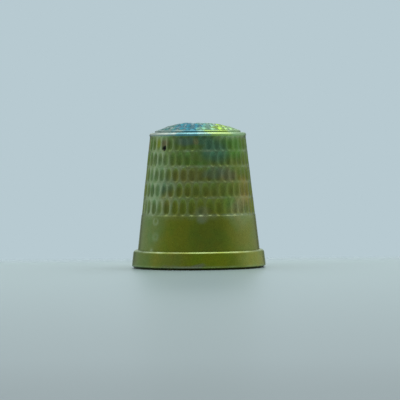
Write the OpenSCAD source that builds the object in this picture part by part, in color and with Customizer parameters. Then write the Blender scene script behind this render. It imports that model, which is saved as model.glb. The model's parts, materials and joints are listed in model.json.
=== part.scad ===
// Sewing thimble, built up from three pieces of sheet and ring stock:
//   side_wall  the tapered, knurled wall, with a beaded lip at its top and a hem turned out at its mouth
//   crown_cap  the domed, pitted crown, dropped into the lip and seated on a ledge inside it
//   rim_band   the reinforcing ring, slid down over the wall's taper until it stands on the hem
// Millimetres, +Z up. The origin is the centre of the mouth, on the plane that the thimble stands on.

/* [Overall] */
// Height from the foot to the top of the crown
total_h = 21.7; // [21.6:0.1:22.4]
// Diameter of the finger opening at the mouth
mouth_d = 17; // [16.4:0.1:17.2]
// Thickness of the sheet that the wall and the crown are pressed from
sheet_t = 0.6; // [0.5:0.05:0.7]

/* [Side wall] */
// Outside diameter of the wall just above the rim band
wall_bottom_d = 18.2; // [18:0.1:18.6]
// Outside diameter of the wall at the shoulder
wall_top_d = 14.4; // [14.2:0.1:14.8]
// Height of the shoulder, where the taper meets the lip
shoulder_z = 19.5; // [19.3:0.1:19.6]
// How far the beaded lip stands out past the taper
lip_bulge = 0.04; // [0:0.01:0.08]
// Thickness of the hem that is turned out under the rim band
hem_t = 0.2; // [0.15:0.05:0.3]
// Outside diameter of the hem
hem_d = 19.4; // [19.2:0.1:19.6]

/* [Side pits] */
// Number of rows of pits on the wall
pit_rows = 5; // [3:1:5]
// Number of pits in each row
pits_per_row = 39; // [36:1:40]
// Height of the lowest row's bottom edge
pits_bottom_z = 7.9; // [7:0.05:7.95]
// Distance from one row to the next
pit_pitch_z = 2.29; // [2.1:0.01:2.3]
// Height of one pit
pit_h = 2.02; // [1.6:0.02:2.02]
// How much taller the lowest row and its pits are than the others
low_row_extra = 0.28; // [0:0.01:0.3]
// How far the pitted zone is sunk below the smooth wall
knurl_sink = 0.05; // [0.01:0.01:0.08]
// Width of one pit
pit_w = 1; // [0.8:0.02:1.04]
// Depth of one pit
pit_depth = 0.2; // [0.1:0.01:0.25]

/* [Crown] */
// Diameter of the crown cap where it drops into the lip
crown_d = 12.8; // [12.6:0.1:13]
// Radius of curvature of the domed crown
dome_r = 16.5; // [16:0.1:17]
// How far the cap's edge stands up above the lip, before it is rounded
cap_step = 0.25; // [0.2:0.01:0.3]
// Radius of the cap's rounded edge
cap_round = 0.2; // [0.1:0.01:0.2]
// Depth of the cap's seat below the top of the lip
cap_edge_t = 0.6; // [0.5:0.05:0.7]
// Width of the ledge that the cap's edge stands on
ledge_w = 0.6; // [0.5:0.05:0.7]
// Depth of the ledge, and of the locating skirt that the cap drops through it
ledge_h = 0.5; // [0.4:0.05:0.6]
// Thickness of the locating skirt
skirt_t = 0.45; // [0.4:0.05:0.5]
// Number of rings of pits round the one at the crown's centre
crown_rings = 5; // [3:1:5]
// Distance from one ring to the next
crown_pitch = 1.13; // [1.08:0.01:1.14]
// Diameter of one crown pit
crown_pit_d = 0.96; // [0.8:0.02:1]
// Depth of one crown pit
crown_pit_depth = 0.17; // [0.1:0.01:0.2]

/* [Rim band] */
// Height of the band's top edge above the foot
band_top_z = 2.7; // [2.4:0.1:2.8]
// Outside diameter of the band at its foot
foot_d = 20; // [19.9:0.1:20.6]
// Outside diameter of the band at its top
band_top_d = 19.6; // [19.4:0.1:19.8]
// Radius of the band's rounded outer edges
band_round = 0.25; // [0.1:0.05:0.3]

/* [Hidden] */
$fn = 120;
// Segments of the small round edges, and of the many pits
edge_fn = 48;
pit_fn = 32;

mouth_r = mouth_d / 2;
wall_bottom_r = wall_bottom_d / 2;
wall_top_r = wall_top_d / 2;
crown_r = crown_d / 2;

// The wall's taper, as radius lost per unit of height and as an angle
taper = (wall_bottom_r - wall_top_r) / (shoulder_z - band_top_z);
taper_angle = atan(taper);

// The ledge inside the lip that carries the cap, and the cap's locating skirt below it
dome_centre_z = total_h - dome_r;
lip_top_z = dome_centre_z + sqrt(dome_r * dome_r - crown_r * crown_r) - cap_step;
seat_z = lip_top_z - cap_edge_t;
seat_r = crown_r - ledge_w;
skirt_z = seat_z - ledge_h;
skirt_r = seat_r - skirt_t;
lip_r = (wall_top_r + lip_bulge - crown_r) / 2;
lip_z = lip_top_z - lip_r;

// Height of the centre of the cap's rounded edge, where the edge runs smoothly into the dome
cap_round_r = crown_r - cap_round;
cap_round_z = dome_centre_z + sqrt(pow(dome_r - cap_round, 2) - pow(cap_round_r, 2));

// Top of the highest row of pits, and of the sunk zone
pits_top_z = pits_bottom_z + low_row_extra + (pit_rows - 1) * pit_pitch_z + pit_h;

// Pits start here, measured from the -Y side towards +X
front_pit_angle = -1.9;
// A little more than any gap, for cutters that run out of the solid
past = 1;

// Outside and inside radius of the tapered wall at height z
function wall_r(z) = wall_top_r + taper * (shoulder_z - z);
function inner_r(z) = wall_r(z) - sheet_t / cos(taper_angle);

// Radius of a round cutter that leaves an opening w wide when it bites depth into a surface
function cutter_r(w, depth) = (w * w / 4 + depth * depth) / (2 * depth);

// A round edge of radius r on a section, with its centre at height z and its outside at radius outer_r
module round_edge(outer_r, z, r) {
    translate([outer_r - r, z]) circle(r = r, $fn = edge_fn);
}

// Half section of the plain wall, from the mouth's turned hem to the beaded lip
module wall_section() {
    round_edge(hem_d / 2, hem_t / 2, hem_t / 2);
    round_edge(crown_r + 2 * lip_r, lip_z, lip_r);
    polygon([
        [mouth_r, 0],
        [(hem_d - hem_t) / 2, 0],
        [(hem_d - hem_t) / 2, hem_t],
        [wall_r(hem_t), hem_t],
        [wall_r(pits_bottom_z), pits_bottom_z],
        [wall_r(pits_bottom_z) - knurl_sink, pits_bottom_z],
        [wall_r(pits_top_z) - knurl_sink, pits_top_z],
        [wall_r(pits_top_z), pits_top_z],
        [wall_r(lip_z), lip_z],
        [crown_r, lip_z],
        [crown_r, seat_z],
        [seat_r, seat_z],
        [seat_r, skirt_z],
        [inner_r(skirt_z), skirt_z],
        [inner_r(band_top_z), band_top_z],
        [mouth_r, band_top_z],
    ]);
}

// One pit in the wall: a round flute with square ends, laid along the taper from height low to height high
module side_pit(low, high) {
    z = (low + high) / 2;
    r = cutter_r(pit_w, pit_depth);
    translate([wall_r(z) - knurl_sink, 0, z])
        rotate([0, -taper_angle, 0])
            translate([r - pit_depth, 0, 0])
                cylinder(r = r, h = high - low, center = true, $fn = pit_fn);
}

// All rows of side pits, each row half a pit round from the one below
module side_pits() {
    step = 360 / pits_per_row;
    for (row = [0:pit_rows - 1], i = [0:pits_per_row - 1]) {
        extra = row == 0 ? 0 : low_row_extra;
        rotate([0, 0, front_pit_angle - 90 + step * (i + (row + 1) % 2 / 2)])
            side_pit(
                pits_bottom_z + row * pit_pitch_z + extra,
                pits_bottom_z + row * pit_pitch_z + low_row_extra + pit_h
            );
    }
}

// One pit in the crown, on the dome's surface at the given distance from the axis
module crown_pit(distance) {
    r = cutter_r(crown_pit_d, crown_pit_depth);
    rotate([0, asin(distance / dome_r), 0])
        translate([0, 0, dome_r + r - crown_pit_depth])
            sphere(r = r, $fn = pit_fn);
}

// The pit at the crown's centre and six more pits in each ring than in the ring inside it
module crown_pits() {
    translate([0, 0, dome_centre_z]) {
        crown_pit(0);
        for (ring = [1:crown_rings], i = [0:6 * ring - 1])
            rotate([0, 0, front_pit_angle - 90 + 60 * i / ring])
                crown_pit(ring * crown_pitch);
    }
}

module side_wall() {
    color("darkolivegreen")
        difference() {
            rotate_extrude() wall_section();
            side_pits();
        }
}

// Half section of the cap before it is hollowed: the dome, its rounded edge, and the seat and skirt below
module cap_section() {
    // The dome is cut off along its own radius, where the rounded edge takes over
    beyond = 1.1;
    intersection() {
        translate([0, dome_centre_z]) circle(r = dome_r);
        polygon([
            [0, seat_z],
            [cap_round_r, seat_z],
            [cap_round_r, cap_round_z],
            [cap_round_r * beyond, dome_centre_z + (cap_round_z - dome_centre_z) * beyond],
            [0, dome_centre_z + (cap_round_z - dome_centre_z) * beyond],
        ]);
    }
    round_edge(crown_r, cap_round_z, cap_round);
    polygon([
        [0, skirt_z],
        [seat_r, skirt_z],
        [seat_r, seat_z],
        [crown_r, seat_z],
        [crown_r, cap_round_z],
        [0, cap_round_z],
    ]);
}

module crown_cap() {
    color("mediumaquamarine")
        difference() {
            rotate_extrude() cap_section();
            intersection() {
                translate([0, 0, skirt_z - past]) cylinder(r = skirt_r, h = total_h);
                translate([0, 0, dome_centre_z]) sphere(r = dome_r - sheet_t);
            }
            crown_pits();
        }
}

// The band's bore follows the wall's taper, and its top edge is rounded to a narrow ledge
module rim_band() {
    foot_r = foot_d / 2;
    top_r = band_top_d / 2;
    color("olivedrab")
        rotate_extrude() {
            round_edge(foot_r, hem_t + band_round, band_round);
            round_edge(top_r, band_top_z - band_round, band_round);
            polygon([
                [wall_r(hem_t), hem_t],
                [foot_r - band_round, hem_t],
                [foot_r, hem_t + band_round],
                [top_r, band_top_z - band_round],
                [top_r - band_round, band_top_z],
                [wall_r(band_top_z), band_top_z],
            ]);
        }
}

side_wall();
crown_cap();
rim_band();
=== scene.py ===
"""A sewing thimble with a colour-shifting lacquer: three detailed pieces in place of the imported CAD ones.

Everything is in metres in the CAD's frame: +Z up along the thimble's axis, -Y towards the camera, and the
origin at the centre of the mouth, on the plane that the thimble stands on.
"""

import json
from math import atan2, cos, exp, hypot, pi, radians, sin, sqrt

import bpy
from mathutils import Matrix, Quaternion, Vector, noise

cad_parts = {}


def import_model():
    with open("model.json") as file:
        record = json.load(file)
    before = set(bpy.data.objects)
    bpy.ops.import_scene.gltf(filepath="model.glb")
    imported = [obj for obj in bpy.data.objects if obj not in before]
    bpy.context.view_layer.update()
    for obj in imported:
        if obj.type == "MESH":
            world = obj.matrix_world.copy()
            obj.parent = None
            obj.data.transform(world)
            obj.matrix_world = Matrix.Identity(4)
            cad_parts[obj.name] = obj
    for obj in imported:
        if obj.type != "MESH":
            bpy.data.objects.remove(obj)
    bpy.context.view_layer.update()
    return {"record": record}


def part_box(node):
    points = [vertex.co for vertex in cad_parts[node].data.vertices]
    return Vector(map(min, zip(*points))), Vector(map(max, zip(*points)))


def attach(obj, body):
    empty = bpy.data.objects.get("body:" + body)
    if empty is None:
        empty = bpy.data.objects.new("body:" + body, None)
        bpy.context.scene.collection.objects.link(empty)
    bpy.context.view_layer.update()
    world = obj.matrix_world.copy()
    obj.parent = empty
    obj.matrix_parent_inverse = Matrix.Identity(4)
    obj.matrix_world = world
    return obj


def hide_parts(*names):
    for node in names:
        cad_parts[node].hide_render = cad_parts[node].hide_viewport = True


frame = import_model()

MM = 0.001
_, WALL_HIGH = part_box("side_wall")
CROWN_LOW, CROWN_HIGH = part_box("crown_cap")
BAND_LOW, BAND_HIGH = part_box("rim_band")

# Shared sizes, as in the CAD model
MOUTH_R = frame["record"]["mounts"][0]["dims"]["r_mm"] * MM
HEM_R = WALL_HIGH.x
HEM_T = BAND_LOW.z
BAND_TOP = BAND_HIGH.z
FOOT_R = BAND_HIGH.x
CROWN_R = CROWN_HIGH.x
CROWN_TOP = CROWN_HIGH.z
SKIRT_Z = CROWN_LOW.z
LIP_TOP = WALL_HIGH.z
WALL_BOTTOM_R = 9.1 * MM
WALL_TOP_R = 7.2 * MM
SHOULDER_Z = 19.5 * MM
SHEET_T = 0.6 * MM
LIP_BULGE = 0.04 * MM
SEAT_DEPTH = 0.6 * MM
SEAT_W = 0.6 * MM
SKIRT_T = 0.45 * MM
TAPER = (WALL_BOTTOM_R - WALL_TOP_R) / (SHOULDER_Z - BAND_TOP)

# The lip round the top of the wall, and the seat inside it that carries the crown
LIP_R = (WALL_TOP_R + LIP_BULGE - CROWN_R) / 2
LIP_Z = LIP_TOP - LIP_R
SEAT_Z = LIP_TOP - SEAT_DEPTH
SEAT_R = CROWN_R - SEAT_W

# The side that wears all over, whose ridges are also painted pale as highlights and pits dark as shade, and
# the side that wears only along its edges, where highlights are painted: radians from the front
RUBBED_AND_LIT_SIDE = 5.4
EDGE_WORN_AND_LIT_SIDE = 0.75


# ---------------------------------------------------------------- small helpers

def smooth(low, high, value):
    """0 below low, 1 above high, and an S-shaped rise between them."""
    t = min(max((value - low) / (high - low), 0.0), 1.0)
    return t * t * (3 - 2 * t)


def above_zero(value, softness):
    """value where it is above 0, and 0 below, with a rounded corner between them."""
    if abs(value) < softness:
        return (value + softness) ** 2 / (4 * softness)
    return max(value, 0.0)


def blob(distance, width):
    """A soft round bump, 1 at distance 0."""
    return exp(-(distance / width) ** 2)


def turn(angle, start):
    """Angle from start, the short way round."""
    return atan2(sin(angle - start), cos(angle - start))


def arc(centre_r, centre_z, radius, start, end, steps):
    """Points along an arc in the half section, from start to end in degrees. 0 points away from the axis."""
    angles = [radians(start + (end - start) * i / steps) for i in range(steps + 1)]
    return [(centre_r + radius * cos(a), centre_z + radius * sin(a)) for a in angles]


def line(start, end, steps):
    """Points from start towards end, without end itself."""
    return [tuple(s + (e - s) * i / steps for s, e in zip(start, end)) for i in range(steps)]


def wander(angle, z, scale, seed):
    """Smooth noise over a round wall, from -1 to 1. scale is the size of its lumps."""
    point = Vector((sin(angle), -cos(angle), 0)) * FOOT_R + Vector((0, 0, z + seed * FOOT_R * 7))
    return noise.noise(point / scale)


def wall_r(z):
    """Outside radius of the plain tapered wall."""
    return WALL_TOP_R + TAPER * (SHOULDER_Z - z)


def mesh_piece(name, points, faces, marks):
    """A smooth-shaded piece. marks holds named values, one for each point."""
    mesh = bpy.data.meshes.new(name)
    mesh.from_pydata(points, [], faces)
    mesh.validate()
    for mark, values in marks.items():
        mesh.attributes.new(mark, "FLOAT", "POINT").data.foreach_set("value", values)
    mesh.polygons.foreach_set("use_smooth", [True] * len(mesh.polygons))
    piece = bpy.data.objects.new(name, mesh)
    bpy.context.scene.collection.objects.link(piece)
    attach(piece, "root")
    return piece


def lathe(name, outline, columns, surface):
    """Turns a closed outline of (r, z) round the axis. surface(angle, r, z) gives (r, *marks) there."""
    points, marks = [], {"relief": [], "inside": [], "wear_and_highlight": [], "painted_shade": []}
    for r, z in outline:
        for column in range(columns):
            angle = 2 * pi * column / columns
            new_r, *values = surface(angle, r, z)
            points.append((new_r * sin(angle), -new_r * cos(angle), z))
            for mark, value in zip(marks.values(), values):
                mark.append(value)
    faces = []
    for ring in range(len(outline)):
        here = ring * columns
        above = (ring + 1) % len(outline) * columns
        for column in range(columns):
            after = (column + 1) % columns
            faces.append((here + column, here + after, above + after, above + column))
    return mesh_piece(name, points, faces, marks)


# ---------------------------------------------------------------- side wall

PITS_PER_ROW = 39
PIT_STEP = 2 * pi / PITS_PER_ROW
FRONT_PIT = radians(-1.9)
PIT_DEPTH = 0.22 * MM
KNURL_SINK = 0.05 * MM
ROWS = 5
ROW_H = 2.29 * MM
LOWEST_ROW_H = 2.57 * MM
LOWEST_LEDGE = 7.9 * MM
LEDGES = [LOWEST_LEDGE] + [LOWEST_LEDGE + LOWEST_ROW_H + ROW_H * i for i in range(ROWS)]


def pit(row, angle, z):
    """How far into the nearest pit of a row a point of the wall is, from 0 to about 1."""
    across = (angle - FRONT_PIT) / PIT_STEP + (row + 1) % 2 / 2
    column = round(across)
    # No two pits are pressed quite alike
    spot = column % PITS_PER_ROW * 1.7
    slip, force = (noise.noise(Vector((spot, row * 5.3, seed))) for seed in (2.5, 0.5))
    half = (LEDGES[row + 1] - LEDGES[row]) / 2
    up = (z - LEDGES[row]) / half - 1
    # Pressed in from below: narrower and shallower towards the top
    off = abs(across - column + slip * 0.1) * (2.3 + 0.15 * up)
    # An arched top, and a rounded foot that is a little squarer in the lowest row
    foot = 2.5 if row == 0 else 2
    end = abs(up) ** foot if up < 0 else (up / 1.05) ** 2.5
    return above_zero(1 - off ** 2 - end, 0.12) * (0.8 + 0.5 * force) * (1 - 0.2 * up)


def knurl(angle, z):
    """The knurling's depth at a point of the wall, how far into a pit and how far up its row, from 0 to 1."""
    low, high = LEDGES[0], LEDGES[-1]
    # Height over which the wall steps in at the lowest ledge and out again above the pits
    step = 0.06 * MM
    if not low <= z <= high:
        return 0.0, 0.0, 0.0
    row = min(sum(z >= ledge for ledge in LEDGES), ROWS) - 1
    relief = max(pit(near, angle, z) for near in (row - 1, row, row + 1) if 0 <= near < ROWS)
    sink = smooth(0, step, z - low) * smooth(0, step, high - z)
    climb = (z - LEDGES[row]) / (LEDGES[row + 1] - LEDGES[row])
    return sink * KNURL_SINK + relief * PIT_DEPTH, relief, climb


def wall_outline():
    """Half section of the wall: up the outside from the mouth's hem to the lip, and down the inside."""
    hem_round = HEM_T / 2
    mouth_round = 0.12 * MM
    # The lowest part of each row has closer points, because its ledge is sharp
    near_ledge = 0.17
    top_in = wall_r(SKIRT_Z) - SHEET_T
    outline = arc(MOUTH_R + mouth_round, mouth_round, mouth_round, 180, 270, 4)
    outline += line((MOUTH_R + 0.35 * MM, 0), (HEM_R - hem_round, 0), 3)
    outline += arc(HEM_R - hem_round, hem_round, hem_round, -90, 90, 8)
    outline += line((wall_r(HEM_T), HEM_T), (wall_r(BAND_TOP), BAND_TOP), 4)
    outline += line((wall_r(BAND_TOP), BAND_TOP), (wall_r(LOWEST_LEDGE), LOWEST_LEDGE), 24)
    for low, high in zip(LEDGES, LEDGES[1:]):
        foot = low + (high - low) * near_ledge
        outline += line((wall_r(low), low), (wall_r(foot), foot), 7)
        outline += line((wall_r(foot), foot), (wall_r(high), high), 14)
    outline += line((wall_r(LEDGES[-1]), LEDGES[-1]), (wall_r(LIP_Z), LIP_Z), 2)
    outline += arc(CROWN_R + LIP_R, LIP_Z, LIP_R, 0, 180, 16)
    outline += line((CROWN_R, LIP_Z - 0.05 * MM), (CROWN_R, SEAT_Z), 2)
    outline += line((CROWN_R, SEAT_Z), (SEAT_R, SEAT_Z), 3)
    outline += line((SEAT_R, SEAT_Z), (SEAT_R, SKIRT_Z), 2)
    outline += line((SEAT_R, SKIRT_Z), (top_in, SKIRT_Z), 3)
    outline += line((top_in, SKIRT_Z), (MOUTH_R, BAND_TOP), 20)
    outline += line((MOUTH_R, BAND_TOP), (MOUTH_R, mouth_round * 1.5), 8)
    return outline


# Marks in the lacquer: angle from the front, height, size, and how far each stands out
PINHOLE = (radians(-43.0), 17.83 * MM, 0.38 * MM, -0.3 * MM)
BUBBLE = (radians(-47.0), 7.1 * MM, 0.45 * MM, 0.03 * MM)
OLD_DROP = (radians(-46.0), 4.8 * MM, 0.55 * MM, 0.02 * MM)
DRIP = (radians(4.9), 7.4 * MM, 0.75 * MM, 0.05 * MM)
NICK = (radians(-50.0), BAND_TOP + 0.02 * MM, 0.3 * MM, 0.1 * MM)
# How far lacquer and hand work are from even
UNEVEN = 0.012 * MM


def reach(mark, angle, z):
    """Distance over the wall from a mark's centre, in units of the mark's size."""
    mark_angle, mark_z, size, _ = mark
    return hypot(turn(angle, mark_angle) * wall_r(mark_z), z - mark_z) / size


def wall_marks(angle, z):
    """How far the marks in the lacquer stand out of the wall at a point."""
    out = PINHOLE[3] * (1 - smooth(0.5, 1.0, reach(PINHOLE, angle, z)))
    # The bubble has burst, and only its ring is left
    out += BUBBLE[3] * blob(reach(BUBBLE, angle, z) - 1, 0.35)
    for mark in (OLD_DROP, DRIP, NICK):
        out += mark[3] * blob(reach(mark, angle, z), 1)
    return out


def hidden_wall(angle, r, z):
    """The hidden part: bare metal inside and behind the band, and a lacquered hem painted dark as shade under
    the band.
    """
    ripple = UNEVEN * wander(angle, z, 2.5 * MM, 3) * (z > BAND_TOP)
    lacquered = z <= HEM_T and r > MOUTH_R + 0.2 * MM
    painted_shade = 0.8 if lacquered and z > 0.02 * MM else 0.0
    return r + ripple, 0.0, 0.0 if lacquered else 1.0, 0.0, painted_shade


def wall_surface(angle, r, z):
    """The wall as it really is at a point of its outline: (radius, relief, inside, paler colour for wear and
    painted highlights, darker colour for painted shade).
    """
    inside = r < wall_r(z) - SHEET_T / 2 and z < LIP_Z
    if inside or z < BAND_TOP - 0.3 * MM:
        return hidden_wall(angle, r, z)
    depth, relief, climb = knurl(angle, z)
    r -= depth
    r += UNEVEN * wander(angle, z, 3.2 * MM, 1) * smooth(BAND_TOP, BAND_TOP + 1 * MM, z)
    r += wall_marks(angle, z)
    patchy = 0.6 + 0.6 * wander(angle, z, 1.1 * MM, 9)
    knurled = smooth(0, 0.1 * MM, z - LEDGES[0]) * (1 - smooth(0, 0.1 * MM, z - LEDGES[-1]))
    # The side that wears and is lit is narrower in the upper rows
    on_rubbed_and_lit = blob(turn(angle, RUBBED_AND_LIT_SIDE), 0.6 - 0.25 * smooth(14.6 * MM, 15.8 * MM, z))
    on_edge_worn_and_lit = blob(turn(angle, EDGE_WORN_AND_LIT_SIDE), 0.45)
    ridge = (1 - smooth(0.0, 0.3 + 0.15 * on_rubbed_and_lit, relief)) * knurled * (0.7 + 0.4 * climb)
    pit_foot = (1 - smooth(0.05, 0.2, climb)) * (1 - smooth(0.2, 0.5, relief)) * knurled
    ledge = blob(z - LEDGES[0] - 0.1 * MM, 0.16 * MM)
    under_lip = blob(z - LIP_Z + 0.45 * MM, 0.35 * MM)
    top_edge = blob(z - LEDGES[-1] + 0.15 * MM, 0.2 * MM)
    front_right = smooth(0.2, 0.6, angle) * (1 - smooth(1.2, 1.5, angle))
    # Paler colour: wear on the ridges, the nick and the old drop; wear and painted highlights along the
    # lowest ledge and on the ridges of the side that wears most; and painted highlights at the feet of the
    # pits, on the bubble's ring, under the lip at the sides and along the top of the knurling on the right
    wear_and_highlight = max(
        ridge * (0.15 + 1.15 * on_rubbed_and_lit - 0.1 * on_edge_worn_and_lit),
        pit_foot * (0.7 - 0.4 * on_edge_worn_and_lit),
        0.9 * blob(reach(BUBBLE, angle, z) - 1, 0.4),
        0.4 * blob(reach(OLD_DROP, angle, z) - 0.8, 0.5),
        1.6 * blob(reach(NICK, angle, z), 1),
        (0.75 + 0.6 * on_edge_worn_and_lit) * ledge,
        0.25 * blob(z - LEDGES[0] + 0.2 * MM, 0.35 * MM),
        (0.7 * on_rubbed_and_lit + 0.5 * on_edge_worn_and_lit) * under_lip,
        top_edge * front_right,
    )
    # The lip's upper half is painted pale: wear and a painted highlight
    lip = smooth(LIP_Z - 0.1 * MM, LIP_Z + 0.15 * MM, z) * (1 + 0.3 * wander(angle, z, 1.5 * MM, 9))
    # Painted shade, darker: in the pinhole, at the lower ends of the pits, in the pits on the side that wears
    # most, on the ledge's highlight, above the band, under the lip and in the crown's seam
    painted_shade = max(
        1 - smooth(0.8, 1.3, reach(PINHOLE, angle, z)),
        0.4 * smooth(0.1, 0.5, relief) * (1 - smooth(0.15, 0.5, climb)) * patchy,
        0.35 * smooth(0.3, 0.8, relief) * on_rubbed_and_lit * patchy,
        0.2 * ledge,
        0.15 * (1 - smooth(0.05 * MM, 0.2 * MM, z - BAND_TOP)),
        0.4 * blob(z - LIP_Z + 0.3 * MM, 0.22 * MM) * (1 - on_rubbed_and_lit) * (1 - on_edge_worn_and_lit),
        0.2 * smooth(0.05 * MM, 0.3 * MM, CROWN_R + LIP_R - r) * smooth(LIP_Z, LIP_TOP, z),
    )
    return r, relief, 0.0, max(wear_and_highlight * patchy, lip, 0.0), painted_shade


def side_wall():
    columns_per_pit = 10
    piece = lathe("lacquered_wall", wall_outline(), PITS_PER_ROW * columns_per_pit, wall_surface)
    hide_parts("side_wall")
    return piece


# ---------------------------------------------------------------- crown cap

DOME_R = 16.5 * MM
DOME_CENTRE = CROWN_TOP - DOME_R
CROWN_RINGS = 5
CROWN_PITCH = 1.13 * MM
CROWN_PIT_R = 0.56 * MM
CROWN_PIT_DEPTH = 0.2 * MM
CAP_ROUND = 0.2 * MM
# Size and height of the dents and bulges in the dome, and how far its middle has sunk
DENT_SIZE = 1.5 * MM
DENT_H = 0.14 * MM
SUNK = 0.1 * MM


def crown_pit_places():
    """Centres of the crown's pits, one in the middle and six more in each ring than in the ring inside it."""
    places = [(0.0, 0.0)]
    for ring in range(1, CROWN_RINGS + 1):
        for i in range(6 * ring):
            # Pressed by hand from ring to ring, so never quite even
            slip, force = (noise.noise(Vector((i * 1.7, ring * 5.3, seed))) for seed in (4.5, 6.5))
            distance = (ring + force * 0.12) * CROWN_PITCH
            angle = FRONT_PIT + 2 * pi * (i + slip * 0.3) / (6 * ring)
            places.append((distance * sin(angle), -distance * cos(angle)))
    return places


def dome_z(r, radius):
    """Height of a dome of that radius at distance r from the axis."""
    return DOME_CENTRE + sqrt(radius ** 2 - r ** 2)


def crown_outline():
    """Half section of the cap: out over the dome and back under it, without its two points on the axis."""
    rings = 54
    under_rings = 24
    edge_r = CROWN_R - CAP_ROUND
    skirt_r = SEAT_R - SKIRT_T
    under_r = DOME_R - SHEET_T
    outline = [(edge_r * i / rings, dome_z(edge_r * i / rings, DOME_R)) for i in range(1, rings + 1)]
    outline += arc(edge_r, dome_z(edge_r, DOME_R - CAP_ROUND), CAP_ROUND, 60, 0, 5)
    outline += line((CROWN_R, LIP_TOP), (CROWN_R, SEAT_Z), 2)
    outline += line((CROWN_R, SEAT_Z), (SEAT_R, SEAT_Z), 2)
    outline += line((SEAT_R, SEAT_Z), (SEAT_R, SKIRT_Z), 2)
    outline += line((SEAT_R, SKIRT_Z), (skirt_r, SKIRT_Z), 2)
    outline += line((skirt_r, SKIRT_Z), (skirt_r, dome_z(skirt_r, under_r)), 4)
    under = [skirt_r * (1 - i / under_rings) for i in range(under_rings)]
    outline += [(r, dome_z(r, under_r)) for r in under]
    return outline


def crown_point(x, y, z, places):
    """The cap as it really is at a point of its outline: (place, relief, inside, paler colour for wear and
    painted highlights, darker colour for painted shade).
    """
    r = hypot(x, y)
    if z < dome_z(r, DOME_R) - SHEET_T / 2:
        # The underside and the hidden edge in the seat are painted dark as shade
        return (x, y, z), 0.0, 0.0 if r > SEAT_R else 1.0, 0.0, 0.7
    spot = Vector((x, y, z))
    uneven = noise.noise(spot / DENT_SIZE)
    near = min(hypot(x - px, y - py) for px, py in places) / CROWN_PIT_R
    relief = 1 - smooth(0.0, 1.0, near)
    out = Vector((x, y, z - DOME_CENTRE)).normalized()
    # Dented and bulged by hand, but no higher than its top and no wider than its seat
    lump = DENT_H * uneven - SUNK * (1 - smooth(1 * MM, 3.5 * MM, r))
    lump *= 1 - smooth(CROWN_R - 0.6 * MM, CROWN_R - 0.2 * MM, r)
    place = spot + out * (lump - relief * CROWN_PIT_DEPTH)
    # Paler here and there between the pits, and all round the edge: wear and painted highlights
    wear_and_highlight = smooth(0.8, 1.1, near) * max(0.4 + noise.noise(spot / (1.1 * MM)) * 1.5, 0.0)
    wear_and_highlight = max(wear_and_highlight, 0.6 * smooth(CROWN_R - 0.25 * MM, CROWN_R - 0.08 * MM, r))
    # Painted shade in the seam round the crown's edge
    painted_shade = 0.12 * smooth(CROWN_R - 0.12 * MM, CROWN_R, r) * (1 + uneven)
    return tuple(place), relief, 0.0, wear_and_highlight, painted_shade


def crown_cap():
    columns = 288
    places = crown_pit_places()
    outline = crown_outline()
    spots = [(0, 0, CROWN_TOP)]
    for r, z in outline:
        for column in range(columns):
            angle = 2 * pi * column / columns
            spots.append((r * sin(angle), -r * cos(angle), z))
    spots.append((0, 0, dome_z(0, DOME_R - SHEET_T)))
    points, relief, inside, wear_and_highlight, painted_shade = zip(*(crown_point(*spot, places) for spot in spots))
    last = len(points) - 1
    end = last - columns
    faces = []
    for column in range(columns):
        after = (column + 1) % columns
        faces.append((0, 1 + column, 1 + after))
        faces.append((end + column, last, end + after))
        for here in range(1, end, columns):
            above = here + columns
            faces.append((here + column, above + column, above + after, here + after))
    marks = {"relief": relief, "inside": inside, "wear_and_highlight": wear_and_highlight, "painted_shade": painted_shade}
    piece = mesh_piece("pitted_crown", points, faces, marks)
    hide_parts("crown_cap")
    return piece


# ---------------------------------------------------------------- rim band

BAND_TOP_R = 9.8 * MM
BAND_ROUND = 0.25 * MM
BAND_TOP_ROUND = 0.5 * MM
BAND_DENT = 0.012 * MM


def band_outline():
    """Half section of the band: up the outside from its foot, over its top edge, and down its bore."""
    foot, top = HEM_T, BAND_TOP
    outline = arc(FOOT_R - BAND_ROUND, foot + BAND_ROUND, BAND_ROUND, -90, 0, 6)
    outline += line((FOOT_R - 0.01 * MM, foot + BAND_ROUND * 1.3), (BAND_TOP_R, top - BAND_TOP_ROUND), 12)
    outline += arc(BAND_TOP_R - BAND_TOP_ROUND, top - BAND_TOP_ROUND, BAND_TOP_ROUND, 0, 90, 10)
    outline += line((BAND_TOP_R - BAND_TOP_ROUND * 1.1, top), (wall_r(top), top), 3)
    outline += line((wall_r(top), top), (wall_r(foot), foot), 6)
    outline += line((wall_r(foot), foot), (FOOT_R - BAND_ROUND * 1.3, foot), 3)
    return outline


def band_surface(angle, r, z):
    """The band as it really is at a point of its outline: (radius, relief, inside, paler colour for wear and
    painted highlights, darker colour for painted shade).
    """
    outside = smooth(wall_r(z) + 0.3 * MM, wall_r(z) + 0.4 * MM, r)
    dent = BAND_DENT * (1 + wander(angle, z, 2.2 * MM, 5)) * outside
    patchy = 0.6 + 0.6 * wander(angle, z, 1.4 * MM, 11)
    on_rubbed_and_lit = blob(turn(angle, RUBBED_AND_LIT_SIDE), 0.5)
    # The top edge is painted pale, most on the side that wears most: wear and a painted highlight
    top = (0.84 + 0.36 * on_rubbed_and_lit) * smooth(BAND_TOP - 0.34 * MM, BAND_TOP - 0.14 * MM, z)
    foot = blob(z - HEM_T - 0.25 * MM, 0.12 * MM) * 0.5
    # Painted shade along the band's foot
    painted_shade = 0.85 - 0.85 * smooth(0.02 * MM, 0.2 * MM, z - HEM_T)
    return r - dent, 0.0, 0.0, max(max(top, foot) * patchy * outside, 0.0), painted_shade


def rim_band():
    columns = 360
    piece = lathe("lacquered_band", band_outline(), columns, band_surface)
    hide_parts("rim_band")
    return piece


# ---------------------------------------------------------------- materials

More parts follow.
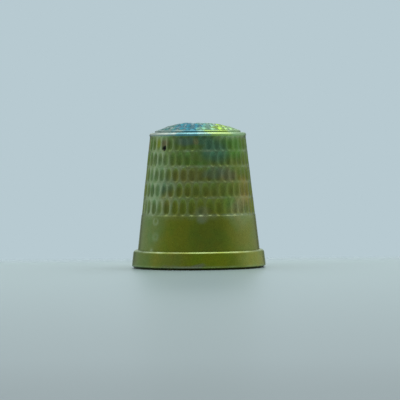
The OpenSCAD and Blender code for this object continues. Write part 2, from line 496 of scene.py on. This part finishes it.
class Graph:
    """Short calls for the shader nodes that the finishes and the studio share."""

    def __init__(self, owner):
        owner.use_nodes = True
        self.nodes = owner.node_tree.nodes
        self.links = owner.node_tree.links

    def connect(self, source, socket):
        """source is an output, or a plain value."""
        if isinstance(source, bpy.types.NodeSocket):
            self.links.new(source, socket)
        else:
            socket.default_value = source

    def vector(self, operation, a, b=None, scale=None):
        node = self.nodes.new("ShaderNodeVectorMath")
        node.operation = operation
        self.connect(a, node.inputs[0])
        if b is not None:
            self.connect(b, node.inputs[1])
        if scale is not None:
            node.inputs["Scale"].default_value = scale
        return node.outputs["Value" if operation == "LENGTH" else "Vector"]

    def math(self, operation, a, b=0.0):
        node = self.nodes.new("ShaderNodeMath")
        node.operation = operation
        self.connect(a, node.inputs[0])
        self.connect(b, node.inputs[1])
        return node.outputs[0]

    def fade(self, value, low, high, start=0.0, end=1.0):
        """start below low, end above high, and an S-shaped change between them."""
        node = self.nodes.new("ShaderNodeMapRange")
        node.interpolation_type = "SMOOTHSTEP"
        for socket, source in zip(node.inputs, (value, low, high, start, end)):
            self.connect(source, socket)
        return node.outputs[0]

    def mix(self, factor, a, b, blend="MIX"):
        node = self.nodes.new("ShaderNodeMix")
        node.data_type = "RGBA"
        node.blend_type = blend
        self.connect(factor, node.inputs[0])
        self.connect(a if isinstance(a, bpy.types.NodeSocket) else (*a, 1), node.inputs[6])
        self.connect(b if isinstance(b, bpy.types.NodeSocket) else (*b, 1), node.inputs[7])
        return node.outputs[2]

    def noise(self, vector, scale, detail=2.0, roughness=0.5):
        node = self.nodes.new("ShaderNodeTexNoise")
        self.links.new(vector, node.inputs["Vector"])
        node.inputs["Scale"].default_value = scale
        node.inputs["Detail"].default_value = detail
        node.inputs["Roughness"].default_value = roughness
        return node.outputs["Fac"]

    def attribute(self, name):
        node = self.nodes.new("ShaderNodeAttribute")
        node.attribute_name = name
        return node.outputs["Fac"]

    def part(self, vector, axis):
        node = self.nodes.new("ShaderNodeSeparateXYZ")
        self.links.new(vector, node.inputs[0])
        return node.outputs[axis]

    def bump(self, height, distance, strength):
        node = self.nodes.new("ShaderNodeBump")
        node.inputs["Strength"].default_value = strength
        node.inputs["Distance"].default_value = distance
        self.links.new(height, node.inputs["Height"])
        return node.outputs["Normal"]


class Finish(Graph):
    """A Principled material."""

    def __init__(self, name):
        self.material = bpy.data.materials.new(name)
        super().__init__(self.material)
        self.shader = self.nodes["Principled BSDF"]
        place = self.nodes.new("ShaderNodeTexCoord")
        self.mm = self.vector("SCALE", place.outputs["Object"], scale=1 / MM)

    def warp(self, amount, scale):
        """The place in millimetres, pushed about by noise."""
        node = self.nodes.new("ShaderNodeTexNoise")
        self.links.new(self.mm, node.inputs["Vector"])
        node.inputs["Scale"].default_value = scale
        node.inputs["Detail"].default_value = 3
        centred = self.vector("SUBTRACT", node.outputs["Color"], (0.5, 0.5, 0.5))
        return self.vector("ADD", self.mm, self.vector("SCALE", centred, scale=amount))

    def stain(self, colour, place, centre, size, stain_colour, strength):
        """A soft-edged patch of another colour. centre and size are in millimetres."""
        away = self.vector("SUBTRACT", place, centre)
        away = self.vector("DIVIDE", away, size)
        near = self.fade(self.vector("LENGTH", away), 0.35, 1.0, strength, 0.0)
        return self.mix(near, colour, stain_colour)

    def set(self, **values):
        for name, value in values.items():
            self.connect(value, self.shader.inputs[name.replace("_", " ")])


OLIVE = (0.28, 0.33, 0.026)
DEEP_OLIVE = (0.20, 0.26, 0.026)
KHAKI = (0.33, 0.36, 0.07)
GREY_GREEN = (0.24, 0.34, 0.10)
MOSS = (0.27, 0.33, 0.06)
FERN = (0.22, 0.35, 0.08)
TEAL = (0.12, 0.30, 0.19)
BLUE_GREY = (0.17, 0.27, 0.20)
SAGE = (0.25, 0.41, 0.15)
GREEN = (0.16, 0.42, 0.06)
AMBER = (0.50, 0.33, 0.08)
PINK = (0.48, 0.30, 0.20)
MAUVE = (0.32, 0.27, 0.20)
LIME = (0.42, 0.52, 0.03)
BRONZE = (0.33, 0.29, 0.08)
DUSTY = (0.37, 0.42, 0.22)
BAND_GREEN = (0.21, 0.30, 0.08)
BAND_OLIVE = (0.30, 0.38, 0.014)
BAND_GOLD = (0.43, 0.46, 0.09)
BARE_GREY = (0.33, 0.31, 0.22)
BARE_GREEN = (0.33, 0.33, 0.20)
BARE_BROWN = (0.33, 0.30, 0.20)
TURNED = (0.56, 0.55, 0.51)
TURNED_GROOVE = (0.40, 0.39, 0.35)
PALE_WEAR_AND_HIGHLIGHT = (0.57, 0.71, 0.42)
BLACK = (0.012, 0.012, 0.01)

# These are laid over the lacquer's colour, which they darken or tint
COOL = (0.88, 1.0, 1.1)
WARM = (1.1, 0.99, 0.97)
FLECK = (0.72, 0.8, 0.6)
POOLED = (0.5, 0.55, 0.45)

# Patches in the lacquer: degrees from the front, height, half width and half height in millimetres, colour,
# strength
WALL_STAINS = [
    (-62, 7, 5.5, 9, GREY_GREEN, 0.9),
    (-20, 4, 3.5, 5, OLIVE, 0.9),
    (10, 5, 4.0, 4.5, DEEP_OLIVE, 0.8),
    (55, 6, 5.0, 8, KHAKI, 0.9),
    (-54, 13.2, 4.2, 5.5, SAGE, 0.85),
    (-15, 16.2, 4.5, 1.8, FERN, 0.6),
    (46, 18.0, 3.2, 2.4, GREEN, 0.52),
    (21, 17.4, 3.1, 2.5, TEAL, 0.85),
    (-14, 18.9, 2.4, 1.0, BLUE_GREY, 0.8),
    (8, 19.0, 2.0, 1.1, TEAL, 0.8),
    (-3, 18.9, 0.8, 0.8, AMBER, 0.4),
    (-56, 18.7, 1.1, 1.0, LIME, 0.6),
    (-43, 18.8, 1.2, 1.0, PINK, 0.6),
    (-8, 15.6, 3.2, 0.7, GREEN, 0.4),
    (-8, 13.9, 3.4, 1.6, BRONZE, 0.6),
    (33, 13.9, 2.6, 1.6, MAUVE, 0.5),
    (16, 14.2, 2.2, 1.2, BLUE_GREY, 0.5),
    (-38, 12.4, 2.6, 1.6, BLUE_GREY, 0.4),
    (-36, 10.3, 1.8, 1.6, BRONZE, 0.5),
    (58, 11.4, 2.2, 3.2, AMBER, 0.5),
    (47, 9.6, 1.6, 1.6, PINK, 0.25),
    (31, 10.0, 1.5, 1.7, GREEN, 0.3),
    (3.5, 8.4, 1.9, 1.2, DUSTY, 0.5),
    (4.5, 7.3, 1.3, 0.9, DUSTY, 0.7),
    (48, 8.5, 3.4, 3.6, PALE_WEAR_AND_HIGHLIGHT, 0.2),
    (-52, 16.4, 3.2, 2.5, PALE_WEAR_AND_HIGHLIGHT, 0.13),
    (110, 15, 4.0, 2.5, TEAL, 0.7),
    (150, 7, 4.0, 4.0, KHAKI, 0.7),
    (165, 12, 2.4, 1.8, AMBER, 0.5),
    (185, 17, 3.0, 1.8, GREEN, 0.6),
    (212, 10, 2.5, 2.0, BRONZE, 0.7),
    (235, 15.5, 3.5, 2.0, BLUE_GREY, 0.8),
    (262, 5, 3.5, 3.0, OLIVE, 0.8),
    (275, 18.4, 1.2, 1.0, PINK, 0.5),
]
BAND_STAINS = [
    (-65, 1.3, 5, 4, BAND_GREEN, 0.8),
    (-30, 1.3, 4, 4, KHAKI, 0.5),
    (8, 1.3, 4.5, 4, BAND_OLIVE, 0.85),
    (60, 1.3, 5.5, 4, BAND_GOLD, 0.95),
    (-6, 0.35, 3.0, 0.7, BARE_GREY, 0.8),
    (-22, 0.25, 3.2, 0.6, BARE_GREEN, 0.5),
    (130, 1.3, 5, 4, MOSS, 0.8),
    (170, 0.4, 2.2, 0.6, BARE_BROWN, 0.7),
    (210, 1.3, 5, 4, KHAKI, 0.6),
]


def stained(finish, colour, place, stains, radius):
    """colour with all the stains over it. radius(z) gives the piece's outside radius at a height."""
    for angle, z, half_w, half_h, stain_colour, strength in stains:
        r = radius(z * MM) / MM
        centre = (r * sin(radians(angle)), -r * cos(radians(angle)), z)
        colour = finish.stain(colour, place, centre, (half_w, half_w, half_h), stain_colour, strength)
    return colour


def lacquer(finish, colour, place, wear_and_highlight_colour=PALE_WEAR_AND_HIGHLIGHT):
    """What the lacquered pieces share: shimmer, flecks, pooled colour, wear and painted highlights, painted
    shade and bare metal inside.
    """
    relief = finish.attribute("relief")
    inside = finish.attribute("inside")
    shimmer = finish.noise(place, 0.55, 2, 0.5)
    tint = finish.mix(finish.fade(shimmer, 0.35, 0.65), COOL, WARM)
    colour = finish.mix(0.6, colour, tint, "MULTIPLY")
    flecks = finish.noise(place, 1.6, 5, 0.6)
    colour = finish.mix(finish.fade(flecks, 0.35, 0.7, 0.0, 0.35), colour, FLECK, "MULTIPLY")
    # Lacquer pools in the pits and is thin on the ridges
    colour = finish.mix(finish.fade(relief, 0.1, 0.9, 0.0, 0.3), colour, POOLED, "MULTIPLY")
    # Paler where there is wear and where highlights are painted
    colour = finish.mix(finish.math("MULTIPLY", finish.attribute("wear_and_highlight"), 0.75), colour, wear_and_highlight_colour)
    # Darker where shade is painted
    colour = finish.mix(finish.attribute("painted_shade"), colour, BLACK)
    patchy = finish.noise(place, 3, 4, 0.6)
    # The bare metal has fine level rings from the lathe
    turned = finish.vector("MULTIPLY", finish.mm, (0.25, 0.25, 9))
    rings = finish.noise(turned, 2.5, 3, 0.6)
    metal_colour = finish.mix(finish.fade(rings, 0.3, 0.7), TURNED, TURNED_GROOVE)
    colour = finish.mix(inside, colour, metal_colour)
    fine = finish.noise(finish.vector("MULTIPLY", finish.mm, (3, 3, 0.7)), 4, 4, 0.65)
    height = finish.mix(inside, finish.mix(0.5, fine, patchy), rings)
    finish.set(
        Base_Color=colour,
        Metallic=0.85,
        Roughness=finish.fade(patchy, 0.3, 0.75, 0.26, 0.36),
        Specular_Tint=(0.7, 0.72, 0.7, 1),
        Coat_Weight=finish.math("MULTIPLY", finish.math("SUBTRACT", 1.0, inside), 0.15),
        Coat_Roughness=0.15,
        Normal=finish.bump(height, 0.02 * MM, 0.06),
    )


# Colours that follow each other from -X to +X across the crown, and paler ones for its wear and for the
# highlights painted along the lip and between the crown's pits
CROWN_COLOURS = [
    (0.085, 0.25, 0.23),
    (0.03, 0.24, 0.34),
    (0.20, 0.46, 0.34),
    (0.40, 0.66, 0.10),
    (0.40, 0.66, 0.26),
]
LIP_COLOURS = [
    (0.90, 0.98, 0.86),
    (0.38, 0.76, 0.76),
    (0.50, 0.80, 0.78),
    (0.66, 0.88, 0.34),
    (0.56, 0.82, 0.50),
]
# Where each colour gives way to the next, in millimetres along X
COLOUR_CHANGES = [(-4.0, -2.4), (-0.4, 0.8), (1.3, 2.5), (3.2, 4.6)]


def rainbow(finish, place, colours):
    """Colours that follow each other across the crown, from -X to +X, with wavy borders."""
    swirl = finish.math("SUBTRACT", finish.noise(place, 0.5, 2), 0.5)
    along = finish.math("ADD", finish.part(place, "X"), finish.math("MULTIPLY", swirl, 6.0))
    colour, *others = colours
    for other, (low, high) in zip(others, COLOUR_CHANGES):
        colour = finish.mix(finish.fade(along, low, high), colour, other)
    return colour


def wall_material():
    finish = Finish("wall_lacquer")
    place = finish.warp(1.6, 0.35)
    height = finish.part(place, "Z")
    colour = finish.mix(finish.fade(height, 6, 13), OLIVE, MOSS)
    colour = finish.mix(finish.fade(height, 13, 18.5), colour, FERN)
    colour = stained(finish, colour, place, WALL_STAINS, wall_r)
    # The lip has the crown's colours
    lip = finish.fade(finish.part(finish.mm, "Z"), 19.55, 19.75)
    colour = finish.mix(lip, colour, rainbow(finish, place, CROWN_COLOURS))
    # The lip's pale colours paint its highlight
    lacquer(finish, colour, place, finish.mix(lip, PALE_WEAR_AND_HIGHLIGHT, rainbow(finish, place, LIP_COLOURS)))
    return finish.material


def crown_material():
    finish = Finish("crown_lacquer")
    place = finish.warp(1.2, 0.6)
    colour = rainbow(finish, place, CROWN_COLOURS)
    lacquer(finish, colour, place, finish.mix(0.6, colour, rainbow(finish, place, LIP_COLOURS)))
    return finish.material


def band_material():
    finish = Finish("band_lacquer")
    place = finish.warp(1.6, 0.35)
    colour = stained(finish, OLIVE, place, BAND_STAINS, lambda z: FOOT_R)
    lacquer(finish, colour, place)
    return finish.material


# ---------------------------------------------------------------- stage, light and camera

BACKDROP = (0.474, 0.590, 0.638)
FLOOR_FRONT = (0.272, 0.343, 0.360)
FLOOR_NEAR = (0.290, 0.360, 0.380)
FLOOR_FAR = (0.448, 0.583, 0.60)

# What reflections see round the thimble
STUDIO_FRONT = (0.20, 0.22, 0.22)
STUDIO_SIDES = (0.46, 0.50, 0.51)
CEILING = (1.1, 1.12, 1.13)
ABOVE_BACKDROP = (0.25, 0.27, 0.28)
ROUND_BACKDROP = (0.1, 0.1, 0.1)
LIT_BACKDROP = (0.5, 0.58, 0.6)
TOP_OF_BACKDROP = (1.12, 1.26, 1.28)


def floor():
    """A wide pale floor that melts into the backdrop a little way behind the thimble, painted darker towards
    the front as shade.
    """
    half = 400 * MM
    # Where the floor changes, in millimetres along Y
    front, whole, melting = (-212, -165), (-290, 60), (16, 38)
    corners = [(-half, -half, 0), (half, -half, 0), (half, half, 0), (-half, half, 0)]
    mesh = bpy.data.meshes.new("floor")
    mesh.from_pydata(corners, [], [(0, 1, 2, 3)])
    plane = bpy.data.objects.new("floor", mesh)
    bpy.context.scene.collection.objects.link(plane)
    finish = Finish("pale_floor")
    mesh.materials.append(finish.material)
    # Painted shade: the floor darkens from the back towards the front
    depth = finish.part(finish.mm, "Y")
    colour = finish.mix(finish.fade(depth, *whole), FLOOR_NEAR, FLOOR_FAR)
    finish.set(
        Base_Color=finish.mix(finish.fade(depth, *front), FLOOR_FRONT, colour),
        Roughness=0.4,
        Alpha=finish.fade(depth, *melting, 1.0, 0.0),
    )


def world():
    """The camera sees a plain backdrop. Reflections see a soft studio: dim in front, lighter to the sides,
    bright overhead, and behind the thimble a pale backdrop with a bright top and darkness round it."""
    made = bpy.data.worlds.new("studio")
    bpy.context.scene.world = made
    studio = Graph(made)
    studio.nodes.clear()
    direction = studio.nodes.new("ShaderNodeTexCoord").outputs["Generated"]
    back, up = studio.part(direction, "Y"), studio.part(direction, "Z")
    light = studio.mix(studio.fade(back, -1.0, 0.7), STUDIO_FRONT, STUDIO_SIDES)
    ceiling = studio.math("MULTIPLY", studio.fade(back, -0.45, -0.1), studio.fade(up, 0.45, 0.75))
    light = studio.mix(ceiling, light, CEILING)
    above = studio.math("MULTIPLY", studio.fade(back, 0.68, 0.78), studio.fade(up, 0.25, 0.45))
    light = studio.mix(above, light, ABOVE_BACKDROP)
    light = studio.mix(studio.fade(back, 0.84, 0.90), light, ROUND_BACKDROP)
    light = studio.mix(studio.fade(back, 0.94, 0.965), light, LIT_BACKDROP)
    top = studio.math("MULTIPLY", studio.fade(back, 0.87, 0.92), studio.fade(up, 0.15, 0.3))
    light = studio.mix(top, light, TOP_OF_BACKDROP)
    rays = studio.nodes.new("ShaderNodeLightPath")
    background = studio.nodes.new("ShaderNodeBackground")
    studio.connect(studio.mix(rays.outputs["Is Camera Ray"], light, BACKDROP), background.inputs["Color"])
    output = studio.nodes.new("ShaderNodeOutputWorld")
    studio.connect(background.outputs[0], output.inputs["Surface"])


def softbox(name, place, target, width, depth, power):
    """An area light aimed at target and hidden from the camera. width and depth are its own size."""
    light = bpy.data.lights.new(name, "AREA")
    light.shape = "RECTANGLE"
    light.size, light.size_y = width, depth
    light.energy = power
    lamp = bpy.data.objects.new(name, light)
    lamp.location = place
    lamp.rotation_mode = "QUATERNION"
    lamp.rotation_quaternion = (Vector(target) - Vector(place)).to_track_quat("-Z", "Y")
    lamp.visible_camera = False
    bpy.context.scene.collection.objects.link(lamp)


def lights():
    place = (40 * MM, -30 * MM, 350 * MM)
    middle = (0, 0, 10 * MM)
    softbox("overhead", place, middle, width=450 * MM, depth=220 * MM, power=0.3)


def camera():
    """A long lens, a little below the thimble's shoulder, looking slightly down and turned a little."""
    aside = 0.25 * MM
    distance = 400 * MM
    eye_z = 18.5 * MM
    target_z = 10.07 * MM
    data = bpy.data.cameras.new("camera")
    data.sensor_width = 36
    data.lens = 241
    eye = bpy.data.objects.new("camera", data)
    eye.location = (aside, -distance, eye_z)
    look = Vector((aside, 0, target_z)) - eye.location
    roll = Quaternion((0, 0, 1), radians(-0.5))
    eye.rotation_mode = "QUATERNION"
    eye.rotation_quaternion = look.to_track_quat("-Z", "Y") @ roll
    bpy.context.scene.collection.objects.link(eye)
    bpy.context.scene.camera = eye


# ---------------------------------------------------------------- build

bpy.context.scene.view_settings.view_transform = "Standard"
camera()
world()
lights()
floor()
side_wall().data.materials.append(wall_material())
crown_cap().data.materials.append(crown_material())
rim_band().data.materials.append(band_material())
